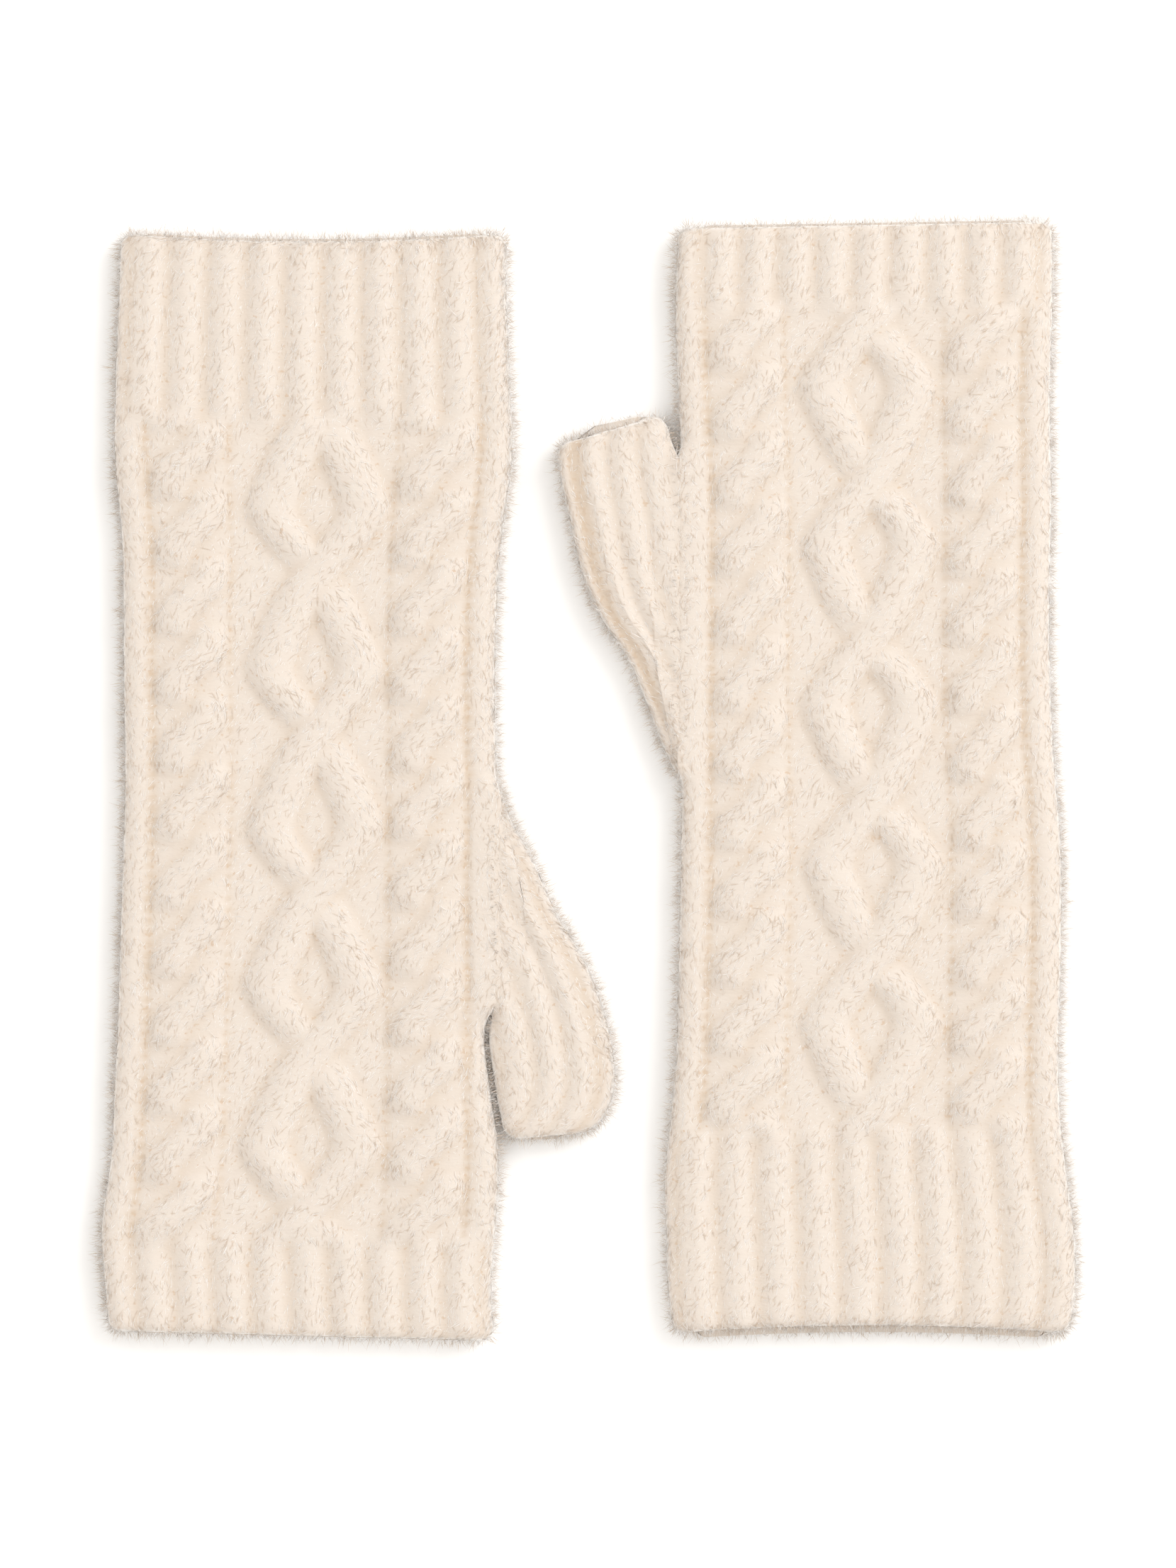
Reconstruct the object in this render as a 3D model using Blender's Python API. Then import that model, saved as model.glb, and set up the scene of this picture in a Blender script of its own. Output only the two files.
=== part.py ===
"""Pair of hand-knitted wrist warmers in cream brushed wool, laid flat side by side.

Each warmer is a tube pressed flat: a front layer lies on a plain back layer. Both layers are made in
the pieces of the knitting, which are the arm rib, the cabled hand, the finger rib and the ribbed thumb.
Ribs and cables are raised in the front layer's outer points over a plain inner face.

Every warmer has its own frame: along runs from the arm opening to the fingers, across runs from the
thumb side (negative) to the far side, and up leaves the surface it lies on. Lengths are in millimetres
here and become metres when a mesh is made.
"""

import math
from typing import NamedTuple

import bmesh
import bpy
import numpy as np

METRE = 0.001

# The wall: two layers, one on the other
BACK_THICKNESS = 3.6
LAYER_GAP = 0.3
GROUND_THICKNESS = 3.0
SEAM_GAP = 0.3
FRONT_FLOOR = BACK_THICKNESS + LAYER_GAP

# The stitch pattern, measured across from the middle of a hand of this half width
PATTERN_HALF = 47.5
RIB_PITCH = 9.3
RIB_HEIGHT = 1.6
RIB_FULLNESS = 0.7
RIB_FADE = 8.0
CABLE_HEIGHT = 2.2
STRAND_POWER = 0.7
LATTICE_PITCH = 39.0
LATTICE_SWAY = 11.0
LATTICE_STRAND = 4.8
LATTICE_LEAN = 0.87
LATTICE_DIP = 1.5
LATTICE_DIP_REACH = 4.0
LATTICE_POINT = 0.96
CROSSING_EARLY = 3.6
CROSSING_EASE = 0.2
PURL_MIDDLE = 18.3
ROPE_CENTRE = 30.0
ROPE_PITCH = 16.75
ROPE_SWAY = 4.0
ROPE_STRAND = 4.4
ROPE_LEAN = 0.86
ROPE_SWING = 0.9
ROPE_WIDER = 0.3
ROPE_PAD = 8.6
ROPE_PAD_HEIGHT = 1.3
EDGE_GROOVE = 39.7
EDGE_STRIP = 41.7
EDGE_HEIGHT = 0.9
THUMB_RIB_FIRST = 4.6
THUMB_RIB_PITCH = 7.9
THUMB_RIB_BASE = 0.7

# How the wall rounds over at its borders
FOLD_RADIUS = 7.0
THUMB_FOLD_RADIUS = 6.0
SEAM_RADIUS = 1.6
MOUTH_RADIUS = 2.5
FOLD_FLOOR = 0.25
SEAM_FLOOR = 0.75
MOUTH_FLOOR = 0.5
ROUND_POWER = 2.5
CORNER_RADIUS = 3.0
MOUTH_DIP = 2.0
MOUTH_START = -0.8
MOUTH_REACH = 15.0
FINGER_SHARE_OF_LONGER = 0.4
JOIN_EASE = 3.0
SLIT_EASE = 6.0

# Spacing of the points
HAND_STEP = ROPE_PITCH / 5
BACK_STEP = 9.0
RIB_STEP = 10.0
MOUTH_STEP = 0.8
BORDER_STEPS = (0.0, 0.7, 2.4, 4.8)
ROPE_COLUMNS = 6
LATTICE_COLUMNS = 12
COLUMNS_PER_RIB = 4
THUMB_COLUMNS = 13
BACK_INNER_COLUMNS = (-38.0, 0.0, 38.0)
THUMB_BACK_COLUMNS = (0.0, 0.03, 0.1, 0.22, 0.5, 0.78, 0.9, 0.97, 1.0)
SMOOTH_ANGLE = 50.0

# Cream wool: linear colour, with the broken shine of brushed fibre
WOOL_COLOUR = (0.84, 0.72, 0.60)
WOOL_ROUGHNESS = 0.95


class Edge(NamedTuple):
    """Where the two folds of the hand lie, and how far the thumb side is drawn in."""
    along: float
    thumb_side: float
    far_side: float
    drawn_in: float


class Thumb(NamedTuple):
    """The thumb's outer fold, and how wide it stands open from the hand."""
    along: float
    outer: float
    slit: float


class Warmer(NamedTuple):
    """Sizes of one warmer; place is the middle of its arm opening and turn is about the vertical."""
    name: str
    place: tuple
    turn: float
    length: float
    finger_slope: float
    arm_rib: float
    finger_rib: float
    lattice_start: float
    lattice_centre: float
    rope_start: float
    arm_rib_groove: float
    finger_rib_groove: float
    back_longer: float
    crotch: float
    thumb_end: float
    thumb_tilt: float
    edges: tuple
    thumb: tuple


LEFT = Warmer(
    name="left",
    place=(-67.85, 133.35),
    turn=180.0,
    length=269.4,
    finger_slope=-1.2,
    arm_rib=41.0,
    finger_rib=249.7,
    lattice_start=47.2,
    lattice_centre=-1.4,
    rope_start=54.9,
    arm_rib_groove=-2.2,
    finger_rib_groove=2.3,
    back_longer=0.8,
    crotch=187.0,
    thumb_end=220.6,
    thumb_tilt=-0.6,
    edges=(
        Edge(0.0, -48.5, 47.4, 0.0),
        Edge(12.0, -48.6, 47.9, 0.0),
        Edge(36.0, -49.5, 48.8, 0.0),
        Edge(54.0, -50.0, 49.0, 0.0),
        Edge(72.0, -47.6, 47.4, 0.0),
        Edge(107.0, -45.8, 46.8, 0.0),
        Edge(133.0, -46.2, 46.5, 0.0),
        Edge(165.0, -46.0, 47.4, 0.0),
        Edge(184.0, -46.3, 48.0, 0.0),
        Edge(194.5, -46.4, 48.3, 4.0),
        Edge(207.0, -46.3, 49.0, 2.4),
        Edge(224.5, -46.6, 49.8, 0.0),
        Edge(246.0, -45.7, 52.3, 0.0),
        Edge(257.0, -44.9, 51.4, 0.0),
        Edge(270.0, -45.6, 50.4, 0.0),
    ),
    thumb=(
        Thumb(135.0, -47.2, 0.0),
        Thumb(141.0, -48.9, 0.0),
        Thumb(152.8, -55.1, 0.0),
        Thumb(165.6, -60.8, 0.0),
        Thumb(177.2, -67.6, 0.0),
        Thumb(187.0, -71.6, 0.1),
        Thumb(191.0, -72.8, 0.2),
        Thumb(200.0, -74.7, 0.6),
        Thumb(207.5, -75.1, 1.0),
        Thumb(213.3, -73.8, 1.4),
        Thumb(217.5, -71.4, 1.8),
        Thumb(220.6, -68.4, 2.0),
    ),
)

RIGHT = Warmer(
    name="right",
    place=(68.25, -134.75),
    turn=0.0,
    length=270.9,
    finger_slope=0.8,
    arm_rib=45.0,
    finger_rib=254.5,
    lattice_start=55.5,
    lattice_centre=0.7,
    rope_start=60.1,
    arm_rib_groove=1.9,
    finger_rib_groove=-3.3,
    back_longer=1.8,
    crotch=212.0,
    thumb_end=221.0,
    thumb_tilt=-3.0,
    edges=(
        Edge(0.0, -48.2, 50.6, 0.0),
        Edge(10.0, -49.4, 52.0, 0.0),
        Edge(22.0, -49.8, 51.9, 0.0),
        Edge(38.0, -50.2, 50.0, 0.0),
        Edge(50.0, -49.0, 48.5, 0.0),
        Edge(65.0, -47.6, 47.9, 0.0),
        Edge(91.0, -46.9, 48.5, 0.0),
        Edge(117.0, -46.3, 48.5, 0.0),
        Edge(147.0, -46.0, 46.4, 0.0),
        Edge(178.0, -45.8, 45.7, 0.0),
        Edge(205.0, -45.8, 46.2, 0.0),
        Edge(230.0, -47.0, 45.8, 0.0),
        Edge(250.0, -47.7, 46.4, 0.0),
        Edge(271.0, -47.0, 46.4, 0.0),
    ),
    thumb=(
        Thumb(136.0, -47.4, 0.0),
        Thumb(145.2, -51.5, 0.0),
        Thumb(152.9, -54.4, 0.0),
        Thumb(166.0, -60.1, 0.0),
        Thumb(174.8, -65.9, 0.0),
        Thumb(187.0, -70.9, 0.0),
        Thumb(200.0, -73.8, 0.0),
        Thumb(208.0, -75.6, 0.0),
        Thumb(212.0, -76.1, 0.1),
        Thumb(217.0, -76.3, 1.6),
        Thumb(221.0, -75.2, 2.3),
    ),
)


def curve(rows, column, along):
    """Smooth line through a table's column: cubics whose slope at a row is the mean of its neighbours'."""
    place = np.array([row.along for row in rows])
    value = np.array([getattr(row, column) for row in rows])
    slope = np.gradient(value, place)
    along = np.clip(along, place[0], place[-1])
    row = np.clip(np.searchsorted(place, along, side="right") - 1, 0, len(place) - 2)
    step = place[row + 1] - place[row]
    part = (along - place[row]) / step
    start = (1 + 2 * part) * (1 - part) ** 2 * value[row] + part * (1 - part) ** 2 * step * slope[row]
    end = part ** 2 * (3 - 2 * part) * value[row + 1] - part ** 2 * (1 - part) * step * slope[row + 1]
    return start + end


def ease(value, start, end):
    """Soft step from 0 at start to 1 at end."""
    part = np.clip((value - start) / (end - start), 0, 1)
    return part * part * (3 - 2 * part)


def round_over(distance, radius, floor):
    """Share of the full height at a distance in from a border: a rounded quarter over a low wall."""
    short = np.clip(1 - distance / radius, 0, 1)
    return floor + (1 - floor) * (1 - short ** ROUND_POWER) ** (1 / ROUND_POWER)


def corner(distance):
    """How far a side is drawn in near an end, for a corner rounded to a quarter circle."""
    short = np.clip(1 - distance / CORNER_RADIUS, 0, 1)
    return CORNER_RADIUS * (1 - np.sqrt(1 - short ** 2))


def dome(offset, half_width):
    """Soft round cross-section of a strand, 1 on its centre line and 0 at its sides."""
    return np.clip(1 - (offset / half_width) ** 2, 0, 1) ** STRAND_POWER


def ribs(distance, groove, pitch):
    """Raised ribs with a groove at every pitch from the first one."""
    wave = 0.5 - 0.5 * np.cos(2 * math.pi * (distance - groove) / pitch)
    return RIB_HEIGHT * wave ** RIB_FULLNESS


def lattice(across, along, start):
    """Two strands zigzag and cross, nearer to the arm than midway between the corners.
    At each crossing the one that leans right passes over the other."""
    even = math.pi * (along - start) / LATTICE_PITCH
    phase = even + math.pi * CROSSING_EARLY / LATTICE_PITCH * np.cos(even) ** 2
    zigzag = np.arcsin(LATTICE_POINT * np.sin(phase)) / math.asin(LATTICE_POINT)
    height = np.zeros_like(across)
    for side in (1, -1):
        centre = side * LATTICE_SWAY * zigzag
        falling = ease(-side * np.cos(phase), -CROSSING_EASE, CROSSING_EASE)
        under = falling * np.exp(-(centre / LATTICE_DIP_REACH) ** 2)
        strand = dome((across - centre) * LATTICE_LEAN, LATTICE_STRAND)
        height = np.maximum(height, (CABLE_HEIGHT - LATTICE_DIP * under) * strand)
    return height


def rope(across, along, start):
    """Two strands twist round each other on a low pad; the one that leans right is always on top."""
    phase = math.pi * (along - start) / ROPE_PITCH
    height = ROPE_PAD_HEIGHT * dome(across, ROPE_PAD)
    half_width = ROPE_STRAND * (1 + ROPE_WIDER * np.cos(phase) ** 2)
    for side in (1, -1):
        strand = dome((across - side * ROPE_SWAY * np.sin(phase)) * ROPE_LEAN, half_width)
        height = np.maximum(height, (CABLE_HEIGHT + side * ROPE_SWING * np.cos(phase)) * strand)
    return height


def hand_relief(warmer, across, along):
    """Height over the ground of the ribs and cables, at places of the pattern."""
    cables = lattice(across - warmer.lattice_centre, along, warmer.lattice_start)
    for side in (1, -1):
        cables = np.maximum(cables, rope(across - side * ROPE_CENTRE, along, warmer.rope_start))
    cables = np.maximum(cables, EDGE_HEIGHT * ease(np.abs(across), EDGE_GROOVE, EDGE_STRIP))
    arm = ribs(across, warmer.arm_rib_groove, RIB_PITCH)
    finger = ribs(across, warmer.finger_rib_groove, RIB_PITCH)
    leave_arm = ease(along, warmer.arm_rib, warmer.arm_rib + RIB_FADE)
    reach_finger = ease(along, warmer.finger_rib - RIB_FADE, warmer.finger_rib)
    return (1 - leave_arm) * arm + (leave_arm - reach_finger) * cables + reach_finger * finger


def thumb_relief(warmer, across, along):
    """Ribs that follow the thumb's outer fold and lie closer together towards its base."""
    outer = curve(warmer.thumb, "outer", along)
    base = warmer.thumb[0].along
    spread = THUMB_RIB_BASE + (1 - THUMB_RIB_BASE) * ease(along, base, warmer.crotch)
    return ribs((across - outer) / spread, THUMB_RIB_FIRST, THUMB_RIB_PITCH)


def hand_sides(warmer, along):
    """The hand's two borders, with its corners rounded at both ends."""
    trim = corner(along) + corner(warmer.length - along)
    left = curve(warmer.edges, "thumb_side", along) + curve(warmer.edges, "drawn_in", along) + trim
    right = curve(warmer.edges, "far_side", along) - trim
    return left, right


def pattern_across(warmer, across, along):
    """Place in the stitch pattern, which is stretched between the two folds."""
    left = curve(warmer.edges, "thumb_side", along)
    right = curve(warmer.edges, "far_side", along)
    return PATTERN_HALF * (2 * (across - left) / (right - left) - 1)


def joined_to_thumb(warmer, along):
    """1 where the hand's thumb side is joined to the thumb and 0 where it is a fold."""
    base = warmer.thumb[0].along
    joined = ease(along, base - JOIN_EASE, base + JOIN_EASE)
    return joined * (1 - ease(along, warmer.crotch, warmer.crotch + SLIT_EASE))


def mouth_line(warmer, across, along, longer):
    """How far the points near an opening move so that its line dips and slopes as the knitting does."""
    part = pattern_across(warmer, across, along) / PATTERN_HALF
    arm = MOUTH_START + MOUTH_DIP * (1 - part ** 2) - longer
    finger = warmer.finger_slope * part + longer * FINGER_SHARE_OF_LONGER
    near_arm = np.clip(1 - along / MOUTH_REACH, 0, 1) ** 2
    near_finger = np.clip(1 - (warmer.length - along) / MOUTH_REACH, 0, 1) ** 2
    return arm * near_arm + finger * near_finger


def hand_grid(warmer, rows, columns, longer):
    """Points of a stretch of the hand between its borders, and the share of its height at each."""
    along = rows[:, None] + 0 * columns[None, :]
    left, right = hand_sides(warmer, along)
    across = left + columns[None, :] * (right - left)
    joined = joined_to_thumb(warmer, along)
    thumb_side = ((1 - joined) * round_over(across - left, FOLD_RADIUS, FOLD_FLOOR)
                  + joined * round_over(across - left, SEAM_RADIUS, SEAM_FLOOR))
    share = np.minimum(thumb_side, round_over(right - across, FOLD_RADIUS, FOLD_FLOOR))
    ends = np.minimum(along, warmer.length - along)
    share = np.minimum(share, round_over(ends, MOUTH_RADIUS, MOUTH_FLOOR))
    return across, along + mouth_line(warmer, across, along, longer), share


def thumb_grid(warmer, rows, columns, longer):
    """Points of the thumb between its outer fold and the hand, and the share of its height at each."""
    along = rows[:, None] + 0 * columns[None, :]
    left = curve(warmer.thumb, "outer", along)
    right = hand_sides(warmer, along)[0] - SEAM_GAP - curve(warmer.thumb, "slit", along)
    across = left + columns[None, :] * (right - left)
    joined = joined_to_thumb(warmer, along)
    hand_side = ((1 - joined) * round_over(right - across, THUMB_FOLD_RADIUS, FOLD_FLOOR)
                 + joined * round_over(right - across, SEAM_RADIUS, SEAM_FLOOR))
    share = np.minimum(hand_side, round_over(across - left, THUMB_FOLD_RADIUS, FOLD_FLOOR))
    share = np.minimum(share, round_over(warmer.thumb_end - along, MOUTH_RADIUS, MOUTH_FLOOR))
    near_end = np.clip(1 - (warmer.thumb_end - along) / MOUTH_REACH, 0, 1) ** 2
    tilt = warmer.thumb_tilt * (1 - 2 * columns[None, :]) + longer
    return across, along + tilt * near_end, share


def column_shares(inner):
    """Columns as shares of the width: close together at the folds, then at the pattern's own places."""
    border = np.array(BORDER_STEPS) - PATTERN_HALF
    places = np.concatenate([border, inner, -border[::-1]])
    return (places + PATTERN_HALF) / (2 * PATTERN_HALF)


def cable_columns():
    """Columns that follow the grooves, the two ropes and the lattice."""
    rope_reach = ROPE_SWAY + ROPE_STRAND
    rope_places = ROPE_CENTRE + np.linspace(rope_reach, -rope_reach, ROPE_COLUMNS)
    side = np.concatenate([[EDGE_STRIP, EDGE_GROOVE], rope_places, [PURL_MIDDLE]])
    lattice_reach = LATTICE_SWAY + LATTICE_STRAND
    middle = np.linspace(-lattice_reach, lattice_reach, LATTICE_COLUMNS)
    return column_shares(np.concatenate([-side, middle, side[::-1]]))


def rib_columns():
    """The same few columns for each rib."""
    step = RIB_PITCH / COLUMNS_PER_RIB
    reach = PATTERN_HALF - BORDER_STEPS[-1] - step
    return column_shares(np.linspace(-reach, reach, int(2 * reach / step)))


def even_rows(start, end, step):
    """Rows at about one step apart, with the first and last on the two ends."""
    return np.linspace(start, end, max(2, round((end - start) / step) + 1))


def mouth_rows(start, end, step):
    """Even rows with two more near an opening at the start, where the wall rounds over."""
    return np.concatenate([[start, start + MOUTH_STEP], even_rows(start + MOUTH_RADIUS, end, step)])


def stretches(warmer, hand_step, rib_step):
    """The rows of the arm rib, the hand and the finger rib, with a seam's gap between them."""
    half_gap = SEAM_GAP / 2
    arm = mouth_rows(0.0, warmer.arm_rib - half_gap, rib_step)
    hand = even_rows(warmer.arm_rib + half_gap, warmer.finger_rib - half_gap, hand_step)
    finger = warmer.length - mouth_rows(0.0, warmer.length - warmer.finger_rib - half_gap, rib_step)
    return arm, hand, finger[::-1]


def thumb_rows(warmer, hand_rows):
    """The hand's own rows along the thumb, so that both sides of the seam keep the same line."""
    base = warmer.thumb[0].along
    last = warmer.thumb_end - MOUTH_RADIUS
    shared = hand_rows[(hand_rows > base) & (hand_rows < last - MOUTH_STEP)]
    return np.concatenate([shared, [last, warmer.thumb_end - MOUTH_STEP, warmer.thumb_end]])


def wool(name):
    """Matt cream wool."""
    material = bpy.data.materials.new(name)
    material.use_nodes = True
    shader = material.node_tree.nodes["Principled BSDF"]
    shader.inputs["Base Color"].default_value = (*WOOL_COLOUR, 1.0)
    shader.inputs["Roughness"].default_value = WOOL_ROUGHNESS
    shader.inputs["Metallic"].default_value = 0.0
    return material


def add_layer(name, parent, across, along, carved, plain, carved_faces_up):
    """One closed slab: a carved face of small triangles, a plain flat face and a rim between them."""
    mesh = bmesh.new()
    rows, columns = across.shape
    carved_points = [[mesh.verts.new((across[i, j] * METRE, along[i, j] * METRE, carved[i, j] * METRE))
                      for j in range(columns)] for i in range(rows)]
    border = ([(0, j) for j in range(columns)]
              + [(i, columns - 1) for i in range(1, rows)]
              + [(rows - 1, j) for j in range(columns - 2, -1, -1)]
              + [(i, 0) for i in range(rows - 2, 0, -1)])
    plain_ring = [mesh.verts.new((across[i, j] * METRE, along[i, j] * METRE, plain * METRE))
                  for i, j in border]
    carved_ring = [carved_points[i][j] for i, j in border]

    def face(*points):
        mesh.faces.new(points if carved_faces_up else points[::-1])

    for i in range(rows - 1):
        for j in range(columns - 1):
            near, right = carved_points[i][j], carved_points[i][j + 1]
            left, far = carved_points[i + 1][j], carved_points[i + 1][j + 1]
            if abs(near.co.z - far.co.z) <= abs(right.co.z - left.co.z):
                face(near, right, far)
                face(near, far, left)
            else:
                face(near, right, left)
                face(right, far, left)
    for k in range(len(border)):
        after = (k + 1) % len(border)
        face(carved_ring[k], plain_ring[k], plain_ring[after], carved_ring[after])
    face(*plain_ring[::-1])

    data = bpy.data.meshes.new(name)
    mesh.to_mesh(data)
    mesh.free()
    data.shade_smooth()
    data.set_sharp_from_angle(angle=math.radians(SMOOTH_ANGLE))
    data.materials.append(wool(name + "_wool"))
    layer = bpy.data.objects.new(name, data)
    bpy.context.scene.collection.objects.link(layer)
    layer.parent = parent
    return layer


def add_front(name, parent, grid, relief):
    """A front piece: ground and relief over the flat inner face, rounded over at the borders."""
    across, along, share = grid
    add_layer(name, parent, across, along, FRONT_FLOOR + (GROUND_THICKNESS + relief) * share,
              FRONT_FLOOR, True)


def add_back(name, parent, grid):
    """A back piece: flat underside on the surface, rounded up at the borders, and a flat inner face."""
    across, along, share = grid
    add_layer(name, parent, across, along, BACK_THICKNESS * (1 - share), BACK_THICKNESS, False)


def add_fronts(warmer, parent):
    """The four pieces of the front layer."""
    arm, hand, finger = stretches(warmer, HAND_STEP, RIB_STEP)
    pieces = (("arm_rib", arm, rib_columns()), ("hand", hand, cable_columns()),
              ("finger_rib", finger, rib_columns()))
    for piece, rows, columns in pieces:
        grid = hand_grid(warmer, rows, columns, 0.0)
        flat_along = rows[:, None] + 0 * columns[None, :]
        relief = hand_relief(warmer, pattern_across(warmer, grid[0], flat_along), flat_along)
        add_front(f"{warmer.name}_{piece}_front", parent, grid, relief)
    rows = thumb_rows(warmer, hand)
    columns = np.linspace(0, 1, THUMB_COLUMNS)
    grid = thumb_grid(warmer, rows, columns, 0.0)
    relief = thumb_relief(warmer, grid[0], rows[:, None] + 0 * columns[None, :])
    add_front(f"{warmer.name}_thumb_front", parent, grid, relief)


def add_backs(warmer, parent):
    """The four pieces of the plain back layer, which show past the front ones at the openings."""
    arm, hand, finger = stretches(warmer, BACK_STEP, RIB_STEP)
    columns = column_shares(BACK_INNER_COLUMNS)
    for piece, rows in (("arm_rib", arm), ("hand", hand), ("finger_rib", finger)):
        grid = hand_grid(warmer, rows, columns, warmer.back_longer)
        add_back(f"{warmer.name}_{piece}_back", parent, grid)
    grid = thumb_grid(warmer, thumb_rows(warmer, hand), np.array(THUMB_BACK_COLUMNS), warmer.back_longer)
    add_back(f"{warmer.name}_thumb_back", parent, grid)


def add_warmer(warmer):
    """One warmer, set down at its own place and turn."""
    holder = bpy.data.objects.new(f"{warmer.name}_warmer", None)
    holder.location = (warmer.place[0] * METRE, warmer.place[1] * METRE, 0.0)
    holder.rotation_euler = (0.0, 0.0, math.radians(warmer.turn))
    bpy.context.scene.collection.objects.link(holder)
    add_fronts(warmer, holder)
    add_backs(warmer, holder)


def main():
    for thing in list(bpy.data.objects):
        bpy.data.objects.remove(thing, do_unlink=True)
    for warmer in (LEFT, RIGHT):
        add_warmer(warmer)


main()
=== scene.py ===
"""Looks of a pair of cable-knit wrist warmers in brushed cream wool, laid flat side by side.

Each warmer is a knitted tube for the hand and a smaller one for the thumb, pressed flat. Both are grids
round the outline of the solids, with ribs, cables and stitches in their outer points, and carry a nap.

Every warmer has its own frame in millimetres: along runs from the arm opening to the fingers, across
from the thumb side (negative) to the far side, and up from the surface it lies on.
"""

import math
from types import SimpleNamespace
from typing import NamedTuple

import bpy
import numpy as np
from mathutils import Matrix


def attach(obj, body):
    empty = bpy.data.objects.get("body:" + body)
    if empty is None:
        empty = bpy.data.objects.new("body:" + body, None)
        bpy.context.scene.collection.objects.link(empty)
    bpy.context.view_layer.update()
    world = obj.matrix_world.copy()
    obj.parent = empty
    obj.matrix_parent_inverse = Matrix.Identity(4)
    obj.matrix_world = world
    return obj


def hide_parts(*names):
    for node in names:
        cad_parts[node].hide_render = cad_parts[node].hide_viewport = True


bl_info = {
    "name": "Brushed Wrist Warmers",
    "version": (1, 0, 0),
    "blender": (4, 5, 0),
    "location": "View3D > Sidebar > Wrist Warmers",
    "description": "Makes a pair of cable-knit wrist warmers in brushed cream wool",
    "category": "Add Mesh",
}

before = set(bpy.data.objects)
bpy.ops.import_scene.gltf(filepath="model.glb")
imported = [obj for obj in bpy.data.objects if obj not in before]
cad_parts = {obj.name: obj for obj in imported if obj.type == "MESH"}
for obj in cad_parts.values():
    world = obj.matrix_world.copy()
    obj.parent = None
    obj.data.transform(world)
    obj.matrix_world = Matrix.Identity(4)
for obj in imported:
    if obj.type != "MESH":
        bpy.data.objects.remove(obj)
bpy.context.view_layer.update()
MM = 0.001
# Place and side of the soft light, which looks at the middle of the pair, in metres
KEY_PLACE = (2.6, 1.9, 2.3)
KEY_SIZE = 2.0
BODY = "root"

# The stitch pattern is drawn on a hand of this half width and stretched between the two folds
PATTERN_HALF = 47.5
# Roundness of folds and mouths: 2 is a circle and more is fuller
ROUND_POWER = 2.5
FRONT, BACK = 0.0, 1.0
# How far in from an opening its line bends the rows of knitting
MOUTH_REACH = 15.0
# Points round the curve of a border: of the front layer, of the back layer, and at an opening
FRONT_CURVE, BACK_CURVE, MOUTH_CURVE = 10, 6, 6


class Edges(NamedTuple):
    """Where the two folds of the hand lie, and how far the thumb side is drawn in."""
    along: tuple
    thumb_side: tuple
    far_side: tuple
    drawn_in: tuple


class Thumb(NamedTuple):
    """The thumb's outer fold, and how wide it stands open from the hand."""
    along: tuple
    outer: tuple
    slit: tuple


def table(kind, *rows):
    """The columns of a table that is written row by row."""
    return kind(*zip(*rows))


class Warmer(NamedTuple):
    """Sizes of one warmer, in millimetres and degrees. Place is the middle of its arm opening, turn is
    about the vertical, and each groove is the place across of one groove between two ribs."""
    name: str
    seed: int
    place: tuple
    turn: float
    length: float
    finger_slope: float
    arm_rib: float
    finger_rib: float
    lattice_start: float
    lattice_centre: float
    rope_start: float
    arm_rib_groove: float
    finger_rib_groove: float
    back_longer: float
    crotch: float
    thumb_end: float
    thumb_tilt: float
    thumb_groove: float
    edges: Edges
    thumb: Thumb


LEFT = Warmer(
    name="left", seed=11,
    place=(-67.85, 133.35), turn=180.0,
    length=269.4, finger_slope=-1.2,
    arm_rib=41.0, finger_rib=249.7,
    lattice_start=47.2, lattice_centre=-1.4, rope_start=54.9,
    arm_rib_groove=-2.2, finger_rib_groove=2.3, back_longer=0.8,
    crotch=187.0, thumb_end=220.6, thumb_tilt=-0.6, thumb_groove=0.2,
    edges=table(
        Edges,
        (0, -48.5, 47.4, 0), (12, -48.6, 47.9, 0), (36, -49.5, 48.8, 0),
        (54, -50, 49, 0), (72, -47.6, 47.4, 0), (107, -45.8, 46.8, 0),
        (133, -46.2, 46.5, 0), (165, -46, 47.4, 0), (184, -46.3, 48, 0),
        (194.5, -46.4, 48.3, 3), (207, -46.3, 49, 2), (224.5, -46.6, 49.8, 0),
        (246, -45.7, 52.3, 0), (257, -44.9, 51.4, 0), (270, -45.6, 50.4, 0),
    ),
    thumb=table(
        Thumb,
        (135, -47.2, 0), (141, -48.9, 0), (152.8, -55.1, 0), (165.6, -60.8, 0),
        (177.2, -67.6, 0), (187, -71.6, 0.1), (191, -72.8, 0.2), (200, -74.7, 0.4),
        (207.5, -75.1, 0.6), (213.3, -73.8, 0.8), (217.5, -71.4, 1), (220.6, -68.4, 1.2),
    ),
)

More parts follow.
